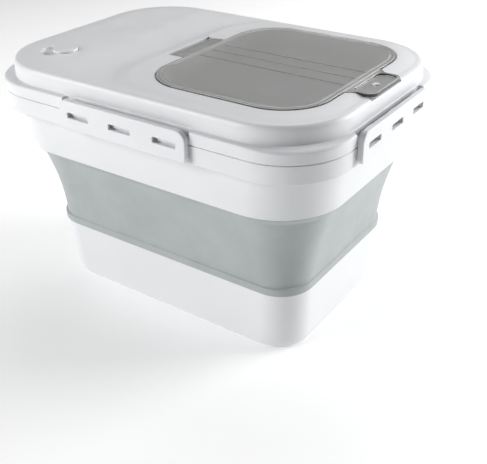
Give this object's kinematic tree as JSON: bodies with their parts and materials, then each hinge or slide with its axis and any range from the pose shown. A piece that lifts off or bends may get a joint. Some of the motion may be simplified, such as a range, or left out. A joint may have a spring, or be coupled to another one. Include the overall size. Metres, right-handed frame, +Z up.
{
  "type": "collapsible pet food bin",
  "caption": "Collapsible lidded storage bin with folding rubber side band, side latches, hinged clear hatch with finger tab and a lift-up vent plug.",
  "frame": {"origin": "on the floor, under the middle of the bin", "axes": "+X along the length towards the hatch's finger tab, +Y towards the back, +Z up"},
  "size_m": [0.443, 0.323, 0.2854],
  "materials": {
    "white_plastic": "satin moulded polypropylene",
    "grey_rubber": "matt moulded thermoplastic rubber",
    "clear_smoke": "clear smoke-tinted plastic, polished",
    "silicone": "translucent silicone",
    "steel": "plain drawn wire",
    "dark_rubber": "matt rubber pad"
  },
  "bodies": {
    "tub": {"lower_tub": "white_plastic", "foot_front_left": "dark_rubber", "foot_front_right": "dark_rubber", "foot_back_left": "dark_rubber", "foot_back_right": "dark_rubber", "folding_band": "grey_rubber"},
    "collar": {"upper_collar": "white_plastic"},
    "lid": {"lid_shell": "white_plastic", "lid_gasket": "silicone", "hatch_hinge_pin": "steel", "tab_snap_stud": "white_plastic", "vent_seal": "silicone", "latch_front_pin": "steel", "latch_back_pin": "steel", "latch_right_pin": "steel", "latch_left_pin": "steel"},
    "hatch": {"hatch": "clear_smoke", "hatch_gasket": "silicone"},
    "vent_plug": {"vent_plug": "white_plastic"},
    "latch_front": {"latch_front": "white_plastic"},
    "latch_back": {"latch_back": "white_plastic"},
    "latch_right": {"latch_right": "white_plastic"},
    "latch_left": {"latch_left": "white_plastic"}
  },
  "joints": [
    {"name": "collapse", "type": "slide", "parent": "tub", "child": "collar", "axis": [0, 0, 1], "range_m": [-0.172, 0], "deforming": ["folding_band"]},
    {"name": "lid_lift", "type": "slide", "parent": "collar", "child": "lid", "axis": [0, 0, 1], "range_m": [0, 0.1]},
    {"name": "hatch_hinge", "type": "hinge", "parent": "lid", "child": "hatch", "pos_m": [-0.0332, 0, 0.2799], "axis": [0, -1, 0], "range_deg": [0, 105]},
    {"name": "vent_lift", "type": "slide", "parent": "lid", "child": "vent_plug", "axis": [0, 0, 1], "range_m": [0, 0.006]},
    {"name": "latch_front_hinge", "type": "hinge", "parent": "lid", "child": "latch_front", "pos_m": [0, -0.1542, 0.2584], "axis": [-1, 0, 0], "range_deg": [0, 95]},
    {"name": "latch_back_hinge", "type": "hinge", "parent": "lid", "child": "latch_back", "pos_m": [0, 0.1542, 0.2584], "axis": [1, 0, 0], "range_deg": [0, 95]},
    {"name": "latch_right_hinge", "type": "hinge", "parent": "lid", "child": "latch_right", "pos_m": [0.2142, 0, 0.2584], "axis": [0, -1, 0], "range_deg": [0, 95]},
    {"name": "latch_left_hinge", "type": "hinge", "parent": "lid", "child": "latch_left", "pos_m": [-0.2142, 0, 0.2584], "axis": [0, 1, 0], "range_deg": [0, 95]}
  ]
}
